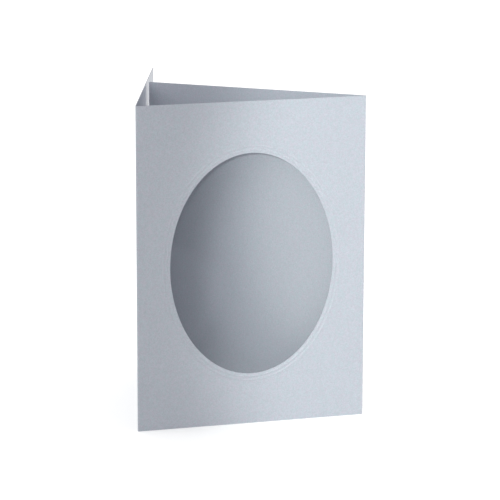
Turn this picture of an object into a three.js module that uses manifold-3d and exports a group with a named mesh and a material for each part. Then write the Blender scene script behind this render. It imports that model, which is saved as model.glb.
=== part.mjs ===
// Oval aperture card: one sheet of card stock, folded twice into three panels, that stands
// by itself. The middle panel has a die-cut oval window with two embossed lines round it,
// the rear leaf opens back from its left fold, and the backing flap comes back from its
// right fold behind the window, with its free edge resting close to the leaf.
// Millimetres, +Z up, front panel facing -Y, origin at the middle of the base.

import * as THREE from 'three';
import { mergeVertices } from 'three/addons/utils/BufferGeometryUtils.js';
import Module from 'manifold-3d';

// Sheet
const cardHeight = 168;
const stockThickness = 0.3;

// Panels, each measured across the outside of its folds
const frontWidth = 120;
const leafWidth = 120;
const flapSetback = 1.5; // how much narrower the flap is, so that it closes inside the card
const flapWidth = frontWidth - flapSetback;

// Creases
const creaseInnerRadius = 0.4;
const creaseSteps = 8;

// How far the card is folded: the place along the leaf that the flap's free edge rests at
const restDistance = 72;
const restClearance = 1.2;

// Window, an upright oval in the middle of the front panel
const windowWidth = 85.6;
const windowHeight = 115;
const windowRaise = 0; // above the middle of the panel

// Embossed lines: narrow raised beads that follow the window's edge
const lineCount = 2;
const lineHeight = 0.14;
const lineWidth = 1.6;
const linePitch = 1.95;
const firstLineInset = 1.55; // from the window's edge to the middle of the first line
const lineSteps = 6;
const rimMargin = 0.8; // flat card outside the last line
const rimSeam = 0.2; // the embossed rim laps this far over the cut in the panel
const ovalSteps = 96;

// Folded section, seen from above

const creaseOuterRadius = creaseInnerRadius + stockThickness;
const creaseMiddleRadius = creaseInnerRadius + stockThickness / 2;
const creaseSpacing = frontWidth - 2 * creaseOuterRadius;
const leafStraight = leafWidth - creaseOuterRadius;
const flapStraight = flapWidth - creaseOuterRadius;

// The two crease centres and the flap's free edge make a triangle with known sides.
function cornerAngle(sideOne, sideTwo, opposite) {
  const cosine = (sideOne ** 2 + sideTwo ** 2 - opposite ** 2) / (2 * sideOne * sideTwo);
  return Math.acos(cosine);
}

const edgeOffset = creaseInnerRadius - restClearance;
const leafReach = Math.hypot(edgeOffset, restDistance);
const flapReach = Math.hypot(creaseInnerRadius, flapStraight);
const leafAngle =
  cornerAngle(creaseSpacing, leafReach, flapReach) - Math.atan2(edgeOffset, restDistance);
const flapAngle =
  cornerAngle(creaseSpacing, flapReach, leafReach) - Math.atan2(creaseInnerRadius, flapStraight);

// A crease is an arc about its centre. The leaf and the flap leave it as tangents.
const leafCrease = new THREE.Vector2(-creaseSpacing / 2, creaseMiddleRadius);
const flapCrease = new THREE.Vector2(creaseSpacing / 2, creaseMiddleRadius);
const leafDirection = new THREE.Vector2(Math.cos(leafAngle), Math.sin(leafAngle));
const flapDirection = new THREE.Vector2(-Math.cos(flapAngle), Math.sin(flapAngle));

// The outer side of the leaf is to the left of its direction, and the flap's is to the right.
const leafOutward = new THREE.Vector2(-leafDirection.y, leafDirection.x);
const flapOutward = new THREE.Vector2(flapDirection.y, -flapDirection.x);

function panelCorner(crease, outward, radius, direction, length) {
  return crease.clone().addScaledVector(outward, radius).addScaledVector(direction, length);
}

function foldedSection() {
  const section = new THREE.Shape();
  const straightDown = -Math.PI / 2;
  const leafTurn = leafAngle + Math.PI / 2;
  const flapTurn = Math.PI / 2 - flapAngle;
  const leafOuterEdge =
    panelCorner(leafCrease, leafOutward, creaseOuterRadius, leafDirection, leafStraight);
  const leafInnerEdge =
    panelCorner(leafCrease, leafOutward, creaseInnerRadius, leafDirection, leafStraight);
  const flapOuterEdge =
    panelCorner(flapCrease, flapOutward, creaseOuterRadius, flapDirection, flapStraight);
  const flapInnerEdge =
    panelCorner(flapCrease, flapOutward, creaseInnerRadius, flapDirection, flapStraight);

  // Across the leaf's free edge, and along the outside of the sheet to the flap's
  section.moveTo(leafInnerEdge.x, leafInnerEdge.y);
  section.lineTo(leafOuterEdge.x, leafOuterEdge.y);
  section.absarc(
    leafCrease.x, leafCrease.y, creaseOuterRadius, leafTurn, straightDown + 2 * Math.PI, false);
  section.absarc(
    flapCrease.x, flapCrease.y, creaseOuterRadius, straightDown, flapTurn, false);
  section.lineTo(flapOuterEdge.x, flapOuterEdge.y);

  // Inside of the sheet, back to the leaf
  section.lineTo(flapInnerEdge.x, flapInnerEdge.y);
  section.absarc(
    flapCrease.x, flapCrease.y, creaseInnerRadius, flapTurn, straightDown, true);
  section.absarc(
    leafCrease.x, leafCrease.y, creaseInnerRadius, straightDown + 2 * Math.PI, leafTurn, true);
  section.closePath();
  return section;
}

function foldedSheet() {
  return new THREE.ExtrudeGeometry(foldedSection(), {
    depth: cardHeight,
    bevelEnabled: false,
    curveSegments: creaseSteps,
  });
}

// Window and its embossed rim, drawn in the plane of the front panel

const lastLineInset = firstLineInset + (lineCount - 1) * linePitch;
const rimWidth = lastLineInset + lineWidth / 2 + rimMargin;
const windowCentre = new THREE.Vector2(0, cardHeight / 2 + windowRaise);

// A point of the curve that keeps one distance outside the window's edge all the way round.
function besideWindow(turn, distance) {
  const acrossRadius = windowWidth / 2;
  const uprightRadius = windowHeight / 2;
  const normal = new THREE.Vector2(
    uprightRadius * Math.cos(turn), acrossRadius * Math.sin(turn)).normalize();
  return new THREE.Vector2(
    windowCentre.x + acrossRadius * Math.cos(turn) + normal.x * distance,
    windowCentre.y + uprightRadius * Math.sin(turn) + normal.y * distance);
}

// The part of the sheet that the rim replaces, cut right through the front panel.
function windowBlank() {
  const points = [];
  for (let step = 0; step < ovalSteps; step += 1) {
    points.push(besideWindow((2 * Math.PI * step) / ovalSteps, rimWidth - rimSeam));
  }
  const depth = 2 * creaseOuterRadius;
  const geometry = new THREE.ExtrudeGeometry(new THREE.Shape(points), {
    depth,
    bevelEnabled: false,
  });
  geometry.translate(0, 0, -depth / 2);
  geometry.rotateX(Math.PI / 2);
  return geometry;
}

// How far the sheet is pushed forward at a distance from the window's edge.
function embossHeight(distance) {
  let height = 0;
  for (let line = 0; line < lineCount; line += 1) {
    const offset = distance - firstLineInset - line * linePitch;
    if (Math.abs(offset) < lineWidth / 2) {
      height += lineHeight * Math.cos((Math.PI * offset) / lineWidth) ** 2;
    }
  }
  return height;
}

// Cross-section of the rim: distance from the window's edge, and depth behind the panel's
// middle plane. Front and back keep the stock's thickness, so each bead has a groove behind it.
function rimSection() {
  const distances = [0];
  for (let line = 0; line < lineCount; line += 1) {
    const start = firstLineInset + line * linePitch - lineWidth / 2;
    for (let step = 0; step <= lineSteps; step += 1) {
      distances.push(start + (lineWidth * step) / lineSteps);
    }
  }
  distances.push(rimWidth);
  const front = distances.map((distance) =>
    new THREE.Vector2(distance, -stockThickness / 2 - embossHeight(distance)));
  const back = distances.map((distance) =>
    new THREE.Vector2(distance, stockThickness / 2 - embossHeight(distance)));
  return front.concat(back.reverse());
}

// Sweeps the rim's section once round the window and closes on itself.
function embossedRim() {
  const section = rimSection();
  const positions = [];
  const triangles = [];
  for (let step = 0; step < ovalSteps; step += 1) {
    for (const { x: distance, y: depth } of section) {
      const place = besideWindow((2 * Math.PI * step) / ovalSteps, distance);
      positions.push(place.x, depth, place.y);
    }
  }
  for (let step = 0; step < ovalSteps; step += 1) {
    const here = step * section.length;
    const next = ((step + 1) % ovalSteps) * section.length;
    for (let point = 0; point < section.length; point += 1) {
      const after = (point + 1) % section.length;
      triangles.push(here + point, here + after, next + after);
      triangles.push(here + point, next + after, next + point);
    }
  }
  const geometry = new THREE.BufferGeometry();
  geometry.setAttribute('position', new THREE.Float32BufferAttribute(positions, 3));
  geometry.setIndex(triangles);
  return geometry;
}

// Cutting and joining

const wasm = await Module();
wasm.setup();

function toSolid(geometry) {
  const bare = geometry.clone();
  bare.deleteAttribute('normal');
  bare.deleteAttribute('uv');
  const merged = mergeVertices(bare, 1e-4);
  return new wasm.Manifold(new wasm.Mesh({
    numProp: 3,
    vertProperties: new Float32Array(merged.attributes.position.array),
    triVerts: new Uint32Array(merged.index.array),
  }));
}

function toGeometry(solid) {
  const mesh = solid.getMesh();
  const geometry = new THREE.BufferGeometry();
  geometry.setAttribute('position', new THREE.BufferAttribute(mesh.vertProperties, 3));
  geometry.setIndex(new THREE.BufferAttribute(mesh.triVerts, 1));
  geometry.computeVertexNormals();
  return geometry;
}

function foldedCard() {
  const sheet = toSolid(foldedSheet());
  const opened = sheet.subtract(toSolid(windowBlank()));
  return toGeometry(opened.add(toSolid(embossedRim())));
}

const pearlStock = new THREE.MeshStandardMaterial({
  color: 0xb9c2cb,
  roughness: 0.5,
  metalness: 0.35,
});

// The sheet is folded about the front panel's middle plane. The finished card is moved so
// that its origin is under the middle of the room that it takes up.
const card = new THREE.Mesh(foldedCard(), pearlStock);
card.name = 'folded_card';
card.geometry.computeBoundingBox();
const footprint = card.geometry.boundingBox.getCenter(new THREE.Vector3());
card.position.set(-footprint.x, -footprint.y, 0);

const model = new THREE.Group();
model.add(card);

export default model;
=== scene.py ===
# Looks of the oval aperture card: pearl card stock, folded twice, standing on a pale floor.
# Metres, in the CAD model's frame: Z up, the front panel faces -Y.
import math

import bmesh
import bpy
from mathutils import Matrix, Vector


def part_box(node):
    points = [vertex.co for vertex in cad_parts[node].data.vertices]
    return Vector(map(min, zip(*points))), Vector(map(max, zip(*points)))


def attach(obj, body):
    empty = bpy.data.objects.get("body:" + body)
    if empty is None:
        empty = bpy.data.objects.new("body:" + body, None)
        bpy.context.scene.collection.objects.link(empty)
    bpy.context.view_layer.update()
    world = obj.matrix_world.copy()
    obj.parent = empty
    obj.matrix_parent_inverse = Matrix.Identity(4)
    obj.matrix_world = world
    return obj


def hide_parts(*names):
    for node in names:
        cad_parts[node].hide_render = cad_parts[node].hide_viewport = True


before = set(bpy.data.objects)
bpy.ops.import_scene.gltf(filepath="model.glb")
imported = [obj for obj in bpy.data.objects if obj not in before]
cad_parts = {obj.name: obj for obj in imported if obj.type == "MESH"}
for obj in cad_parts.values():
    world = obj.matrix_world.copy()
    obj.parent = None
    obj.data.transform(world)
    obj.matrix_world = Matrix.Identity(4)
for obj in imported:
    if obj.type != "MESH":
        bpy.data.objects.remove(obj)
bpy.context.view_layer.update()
mm = 0.001


# Camera: fitted to the photograph's edges, folds and oval, with the card's sizes held

cameraView = {
    "lens": 193.66,  # mm
    "sensor": 36,  # mm
    "place": (-0.35833, -1.33684, 0.40093),
    "yaw": 15.599,  # degrees to the right of +Y
    "pitch": 13.115,  # degrees down
    "roll": 0.135,
    "clip": (0.05, 40),
}


def addCamera(view):
    data = bpy.data.cameras.new("studio_camera")
    data.lens = view["lens"]
    data.sensor_width = view["sensor"]
    data.clip_start, data.clip_end = view["clip"]
    camera = bpy.data.objects.new("studio_camera", data)
    bpy.context.scene.collection.objects.link(camera)
    turn = Matrix.Rotation(math.radians(-view["yaw"]), 4, "Z")
    tip = Matrix.Rotation(math.radians(90 - view["pitch"]), 4, "X")
    lean = Matrix.Rotation(math.radians(view["roll"]), 4, "Z")
    camera.matrix_world = Matrix.Translation(view["place"]) @ turn @ tip @ lean
    bpy.context.scene.camera = camera


addCamera(cameraView)
print("camera placed")


# Shader maths, written as sums on node sockets

class Wire:
    def __init__(self, recipe, socket):
        self.recipe = recipe
        self.socket = socket

    def calculate(self, operation, first, second):
        return self.recipe.add("ShaderNodeMath", {"operation": operation}, {0: first, 1: second})[0]

    def __add__(self, other):
        return self.calculate("ADD", self, other)

    def __radd__(self, other):
        return self.calculate("ADD", other, self)

    def __sub__(self, other):
        return self.calculate("SUBTRACT", self, other)

    def __mul__(self, other):
        return self.calculate("MULTIPLY", self, other)


class Made:
    def __init__(self, recipe, node):
        self.recipe = recipe
        self.node = node

    def __getitem__(self, name):
        return Wire(self.recipe, self.node.outputs[name])


class Recipe:
    def __init__(self, name):
        self.material = bpy.data.materials.new(name)
        self.material.use_nodes = True
        self.tree = self.material.node_tree
        self.tree.nodes.clear()

    def add(self, kind, settings=None, values=None):
        node = self.tree.nodes.new(kind)
        for name, value in (settings or {}).items():
            if name == "stops":
                self.setStops(node, value)
            else:
                setattr(node, name, value)
        for name, value in (values or {}).items():
            if isinstance(value, Wire):
                self.tree.links.new(value.socket, node.inputs[name])
            else:
                node.inputs[name].default_value = value
        return Made(self, node)

    def setStops(self, node, stops):
        elements = node.color_ramp.elements
        while len(elements) < len(stops):
            elements.new(1)
        for element, (place, colour) in zip(elements, stops):
            element.position = place
            element.color = (*colour, 1)

    def mixColour(self, amount, first, second, blend="MIX"):
        settings = {"data_type": "RGBA", "blend_type": blend}
        return self.add("ShaderNodeMix", settings, {0: amount, 6: first, 7: second})[2]

    def noise(self, place, size, detail):
        values = {"Vector": place, "Scale": 1 / size, "Detail": detail}
        return self.add("ShaderNodeTexNoise", {}, values)["Fac"]

    def bump(self, height, depth):
        values = {"Strength": 1.0, "Distance": depth, "Height": height}
        return self.add("ShaderNodeBump", {}, values)["Normal"]

    def vectorMaths(self, operation, values):
        return self.add("ShaderNodeVectorMath", {"operation": operation}, values)["Vector"]

    def finish(self, shader):
        output = self.tree.nodes.new("ShaderNodeOutputMaterial")
        self.tree.links.new(shader.socket, output.inputs["Surface"])
        return self.material


# Pearl card stock: lavender-grey paper with a fine mica coat

pearlStock = {
    "base": (0.338, 0.356, 0.412),
    "warmFleck": (0.38, 0.339, 0.414),
    "coolFleck": (0.296, 0.373, 0.41),
    "fleckSize": 1.2 * mm,
    "fleckDetail": 2.0,
    "fleckStops": (0.35, 0.5, 0.65),  # where the noise is warm, plain and cool
    "fleckAmount": 0.45,
    "grainSize": 0.5 * mm,
    "grainDetail": 1.0,
    "grainAmount": 0.46,
    "cloudSize": 14 * mm,
    "cloudDetail": 3.0,
    "cloudAmount": 0.03,
    "fibreSize": 0.9 * mm,
    "fibreDetail": 4.0,
    "fibreDepth": 0.012 * mm,
    "flakeSize": 0.3 * mm,
    "flakeTilt": 0.10,
    "roughness": 0.36,
    "ior": 1.9,
    "sheenTint": (0.93, 1.0, 0.96, 1),
}


def makePearlStock(look):
    recipe = Recipe("pearl_card_stock")
    place = recipe.add("ShaderNodeTexCoord")["Object"]
    flecks = recipe.noise(place, look["fleckSize"], look["fleckDetail"])
    fleckTones = (look["warmFleck"], look["base"], look["coolFleck"])
    tone = recipe.add(
        "ShaderNodeValToRGB", {"stops": list(zip(look["fleckStops"], fleckTones))}, {"Fac": flecks})
    fleckColour = recipe.mixColour(look["fleckAmount"], (*look["base"], 1), tone["Color"])
    clouds = recipe.noise(place, look["cloudSize"], look["cloudDetail"])
    grain = recipe.noise(place, look["grainSize"], look["grainDetail"])
    shade = 1 + (clouds - 0.5) * look["cloudAmount"] + (grain - 0.5) * look["grainAmount"]
    shadeColour = recipe.add("ShaderNodeCombineColor", {}, {0: shade, 1: shade, 2: shade})["Color"]
    colour = recipe.mixColour(1.0, fleckColour, shadeColour, "MULTIPLY")

    fibres = recipe.noise(place, look["fibreSize"], look["fibreDetail"])
    relief = recipe.bump(fibres, look["fibreDepth"])
    flakes = recipe.add(
        "ShaderNodeTexVoronoi", {}, {"Vector": place, "Scale": 1 / look["flakeSize"]})["Color"]
    centred = recipe.vectorMaths("SUBTRACT", {0: flakes, 1: (0.5, 0.5, 0.5)})
    tilted = recipe.vectorMaths("SCALE", {0: centred, "Scale": look["flakeTilt"]})
    leaned = recipe.vectorMaths("ADD", {0: relief, 1: tilted})
    normal = recipe.vectorMaths("NORMALIZE", {0: leaned})

    shader = recipe.add("ShaderNodeBsdfPrincipled", {}, {
        "Base Color": colour,
        "Roughness": look["roughness"],
        "IOR": look["ior"],
        "Specular Tint": look["sheenTint"],
        "Normal": normal,
    })
    return recipe.finish(shader["BSDF"])


# Cut edge: the paper's own fibres, without the coat

cutEdge = {
    "base": (0.26, 0.265, 0.30),
    "fibre": (0.36, 0.365, 0.40),
    "fibreSize": 0.12 * mm,
    "fibreDetail": 3.0,
    "fibreDepth": 0.01 * mm,
    "roughness": 0.85,
}


def makeCutEdge(look):
    recipe = Recipe("cut_card_edge")
    place = recipe.add("ShaderNodeTexCoord")["Object"]
    fibres = recipe.noise(place, look["fibreSize"], look["fibreDetail"])
    colour = recipe.mixColour(fibres, (*look["base"], 1), (*look["fibre"], 1))
    relief = recipe.bump(fibres, look["fibreDepth"])
    shader = recipe.add("ShaderNodeBsdfPrincipled", {}, {
        "Base Color": colour, "Roughness": look["roughness"], "Normal": relief})
    return recipe.finish(shader["BSDF"])


pearlMaterial = makePearlStock(pearlStock)
edgeMaterial = makeCutEdge(cutEdge)
print("materials made")


# The folded card, one sheet: its outer surface is modelled, then given its thickness

card = {
    "thickness": 0.3 * mm,
    "creaseRadius": 0.4 * mm,  # inside of the fold
    "leafWidth": 120 * mm,
    "flapWidth": 118.5 * mm,
    "restDistance": 72 * mm,
    "restGap": 1.2 * mm,
    "windowWidth": 85.6 * mm,
    "windowHeight": 115 * mm,
    "lineCentres": (1.55 * mm, 3.5 * mm),  # from the window's edge
    "lineWidth": 1.6 * mm,
    "lineHeight": 0.14 * mm,
    "lineSteps": 10,
    "margin": 0.8 * mm,
    "ovalSteps": 288,
    "creaseSteps": 12,
    "creaseLip": 0.25 * mm,  # flat strip beside a fold, which keeps the panel's shading flat
    "sharpAngle": 35,  # degrees, above which an edge isn't shaded smooth
    "closeness": 0.0001 * mm,  # points nearer than this are one point
}
lowCorner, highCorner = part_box("folded_card")
cardHeight = highCorner.z - lowCorner.z
frontWidth = highCorner.x - lowCorner.x
outerRadius = card["creaseRadius"] + card["thickness"]
creaseSpacing = frontWidth - 2 * outerRadius
leafStraight = card["leafWidth"] - outerRadius
flapStraight = card["flapWidth"] - outerRadius
frontCentre = Vector((
    (lowCorner.x + highCorner.x) / 2,
    lowCorner.y + card["lineHeight"],
    (lowCorner.z + highCorner.z) / 2,
))


def cornerAngle(sideOne, sideTwo, opposite):
    return math.acos((sideOne ** 2 + sideTwo ** 2 - opposite ** 2) / (2 * sideOne * sideTwo))


edgeOffset = card["creaseRadius"] - card["restGap"]
leafReach = math.hypot(edgeOffset, card["restDistance"])
flapReach = math.hypot(card["creaseRadius"], flapStraight)
leafAngle = cornerAngle(creaseSpacing, leafReach, flapReach)
leafAngle -= math.atan2(edgeOffset, card["restDistance"])
flapAngle = cornerAngle(creaseSpacing, flapReach, leafReach)
flapAngle -= math.atan2(card["creaseRadius"], flapStraight)


def embossHeight(distance):
    height = 0
    for centre in card["lineCentres"]:
        offset = distance - centre
        if abs(offset) < card["lineWidth"] / 2:
            height += card["lineHeight"] * math.cos(math.pi * offset / card["lineWidth"]) ** 2
    return height


def rimDistances():
    distances = []
    for centre in card["lineCentres"]:
        for step in range(card["lineSteps"] + 1):
            distances.append(centre + card["lineWidth"] * (step / card["lineSteps"] - 0.5))
    return distances + [distances[-1] + card["margin"]]


def newEdges(made):
    fresh = {v for v in made["geom"] if isinstance(v, bmesh.types.BMVert)}
    edges = [e for e in made["geom"] if isinstance(e, bmesh.types.BMEdge)]
    return fresh, [e for e in edges if e.verts[0] in fresh and e.verts[1] in fresh]


def windowRings(mesh):
    across, upright = card["windowWidth"] / 2, card["windowHeight"] / 2
    turnLayer = mesh.verts.layers.float.new("turn")
    ring = bmesh.ops.create_circle(mesh, cap_ends=False, radius=1, segments=card["ovalSteps"])
    for vertex in ring["verts"]:
        vertex[turnLayer] = math.atan2(vertex.co.y, vertex.co.x)
        vertex.co = Vector((across * vertex.co.x, 0, upright * vertex.co.y))
    edges = list(mesh.edges)
    for distance in rimDistances():
        fresh, edges = newEdges(bmesh.ops.extrude_edge_only(mesh, edges=edges))
        for vertex in fresh:
            turn = vertex[turnLayer]
            outward = Vector((upright * math.cos(turn), 0, across * math.sin(turn))).normalized()
            edgePoint = Vector((across * math.cos(turn), 0, upright * math.sin(turn)))
            vertex.co = edgePoint + outward * distance + Vector((0, -embossHeight(distance), 0))
    return edges


def squareOut(mesh, edges):
    halfWidth, halfHeight = creaseSpacing / 2 - card["creaseLip"], cardHeight / 2
    tiny = card["closeness"]
    fresh, edges = newEdges(bmesh.ops.extrude_edge_only(mesh, edges=edges))
    for vertex in fresh:
        reachX, reachZ = max(abs(vertex.co.x), tiny), max(abs(vertex.co.z), tiny)
        reach = min(halfWidth / reachX, halfHeight / reachZ)
        vertex.co = vertex.co * reach
    for sideX in (-halfWidth, halfWidth):
        for sideZ in (-halfHeight, halfHeight):
            corner = Vector((sideX, 0, sideZ))
            nearest = min(fresh, key=lambda vertex: (vertex.co - corner).length)
            nearest.co = corner
    return edges


def pushOut(mesh, edges, step):
    fresh, edges = newEdges(bmesh.ops.extrude_edge_only(mesh, edges=edges))
    bmesh.ops.translate(mesh, verts=list(fresh), vec=step)
    return edges


def foldPanel(mesh, edges, side, turn, length):
    limit = creaseSpacing / 2 - card["creaseLip"] - 10 * card["closeness"]
    atSide = [e for e in edges if all(side * v.co.x > limit for v in e.verts)]
    atSide = pushOut(mesh, atSide, Vector((side * card["creaseLip"], 0, 0)))
    sideVerts = list({v for e in atSide for v in e.verts})
    made = bmesh.ops.spin(
        mesh, geom=sideVerts + atSide, cent=(side * creaseSpacing / 2, outerRadius, 0),
        axis=(0, 0, 1), angle=turn, steps=card["creaseSteps"], use_merge=False, use_duplicate=False)
    turned = [e for e in made["geom_last"] if isinstance(e, bmesh.types.BMEdge)]
    direction = Matrix.Rotation(turn, 3, "Z") @ Vector((side, 0, 0))
    turned = pushOut(mesh, turned, direction * card["creaseLip"])
    pushOut(mesh, turned, direction * (length - card["creaseLip"]))


def buildCard():
    mesh = bmesh.new()
    edges = squareOut(mesh, windowRings(mesh))
    foldPanel(mesh, edges, -1, leafAngle - math.pi, leafStraight)
    foldPanel(mesh, edges, 1, math.pi - flapAngle, flapStraight)
    bmesh.ops.remove_doubles(mesh, verts=mesh.verts, dist=card["closeness"])
    bmesh.ops.recalc_face_normals(mesh, faces=mesh.faces)
    front = min(mesh.faces, key=lambda face: face.calc_center_median().y)
    if front.normal.y > 0:
        bmesh.ops.reverse_faces(mesh, faces=mesh.faces)
    outside = set(mesh.faces)
    made = bmesh.ops.solidify(mesh, geom=list(mesh.faces), thickness=card["thickness"])
    inside = {f for f in made["geom"] if isinstance(f, bmesh.types.BMFace)}
    for face in mesh.faces:
        face.smooth = True
        face.material_index = 0 if face in outside or face in inside else 1
    bmesh.ops.translate(mesh, verts=mesh.verts, vec=frontCentre)
    data = bpy.data.meshes.new("pearl_card")
    mesh.to_mesh(data)
    mesh.free()
    data.set_sharp_from_angle(angle=math.radians(card["sharpAngle"]))
    piece = bpy.data.objects.new("pearl_card", data)
    bpy.context.scene.collection.objects.link(piece)
    data.materials.append(pearlMaterial)
    data.materials.append(edgeMaterial)
    print("card faces", len(data.polygons))
    return piece


pearlCard = buildCard()
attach(pearlCard, "root")
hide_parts("folded_card")
print("card built")


# Floor and lights. A spot's soft edge crosses the front panel, where its light fades out.

studio = {
    "floorSize": 14,
    "floorColour": (0.92, 0.92, 0.92, 1),
    "floorRoughness": 0.9,
    "floorShine": 0.1,
    "floorGlow": 0.12,  # lifts the cast shadow to white, and fades the contact shadows too
    "worldStrength": 0.721,
    "softboxes": {
        "far_top_softbox": {
            "place": (0, 2.6, 2), "aim": (0, 2, 0), "size": (5, 2), "power": 29.6,
            "colour": (1, 1, 1)},
        "left_top_softbox": {
            "place": (-2, 0, 2), "aim": (0, 0, 0), "size": (2, 2), "power": 24.7,
            "colour": (1, 1, 1)},
        "right_top_softbox": {
            "place": (1.8, -0.3, 1.9), "aim": (0, 0, 0), "size": (1, 1), "power": 5.66,
            "colour": (1, 1, 1)},
        "front_left_strip": {
            "place": (-0.53, -0.85, 0.5), "aim": (0, 0, 0.5), "size": (0.22, 1), "power": 2.4,
            "colour": (0.98, 0.98, 1)},
    },
    "spots": {
        "front_spot": {"place": (-0.37, -1.27, 0.42), "power": 39.1, "colour": (0.93, 1, 0.93)},
        "right_spot": {"place": (1, -1, 0.6), "power": 33.3, "colour": (1, 0.98, 0.96)},
        "high_right_spot": {"place": (1.15, -0.6, 0.75), "power": 2.31, "colour": (1, 0.99, 0.96)},
    },
    "spotEdge": (-0.016, -0.057, 0.084),  # where the middle of each soft edge falls on the card
    "spotLean": 18,  # degrees between that edge and the spot's axis
    "spotSoftness": 0.031,  # half the edge's width on the card
    "spotRadius": 0.012,
}


def addFloor():
    mesh = bmesh.new()
    bmesh.ops.create_grid(mesh, x_segments=1, y_segments=1, size=studio["floorSize"] / 2)
    data = bpy.data.meshes.new("studio_floor")
    mesh.to_mesh(data)
    mesh.free()
    floor = bpy.data.objects.new("studio_floor", data)
    bpy.context.scene.collection.objects.link(floor)
    recipe = Recipe("floor_paper")
    shader = recipe.add("ShaderNodeBsdfPrincipled", {}, {
        "Base Color": studio["floorColour"],
        "Roughness": studio["floorRoughness"],
        "Specular IOR Level": studio["floorShine"],
        "Emission Color": (1, 1, 1, 1),
        "Emission Strength": studio["floorGlow"],
    })
    data.materials.append(recipe.finish(shader["BSDF"]))
    # Its light from below would weaken the lines' shading at the window's top and bottom
    floor.visible_diffuse = False


def addLamp(name, kind, light, axis):
    data = bpy.data.lights.new(name, kind)
    data.energy = light["power"]
    data.color = light["colour"]
    lamp = bpy.data.objects.new(name, data)
    bpy.context.scene.collection.objects.link(lamp)
    lamp.rotation_euler = (-axis).to_track_quat("Z", "Y").to_euler()
    lamp.location = light["place"]
    lamp.visible_camera = False
    return data


def addSoftbox(name, light):
    data = addLamp(name, "AREA", light, Vector(light["aim"]) - Vector(light["place"]))
    data.shape = "RECTANGLE"
    data.size, data.size_y = light["size"]


def addSpot(name, light):
    toEdge = Vector(studio["spotEdge"]) - Vector(light["place"])
    slant = abs(toEdge.y) / math.hypot(toEdge.x, toEdge.y)
    softness = math.atan(studio["spotSoftness"] * slant / toEdge.length)
    lean = math.radians(studio["spotLean"])
    upright = Vector((0, 0, 1)) - toEdge * (toEdge.z / toEdge.length_squared)
    data = addLamp(name, "SPOT", light, Matrix.Rotation(-lean, 3, upright) @ toEdge)
    outerCosine, innerCosine = math.cos(lean + softness), math.cos(lean - softness)
    data.spot_size = 2 * (lean + softness)
    data.spot_blend = (innerCosine - outerCosine) / (1 - outerCosine)
    data.shadow_soft_size = studio["spotRadius"]


def setUpStudio():
    scene = bpy.context.scene
    addFloor()
    for name, light in studio["softboxes"].items():
        addSoftbox(name, light)
    for name, light in studio["spots"].items():
        addSpot(name, light)
    world = bpy.data.worlds.new("studio_air")
    world.use_nodes = True
    air = world.node_tree.nodes["Background"].inputs
    air["Strength"].default_value = studio["worldStrength"]
    air["Color"].default_value = (1, 1, 1, 1)
    scene.world = world
    scene.view_settings.view_transform = "Standard"
    scene.view_settings.look = "None"


setUpStudio()
print("studio set up")
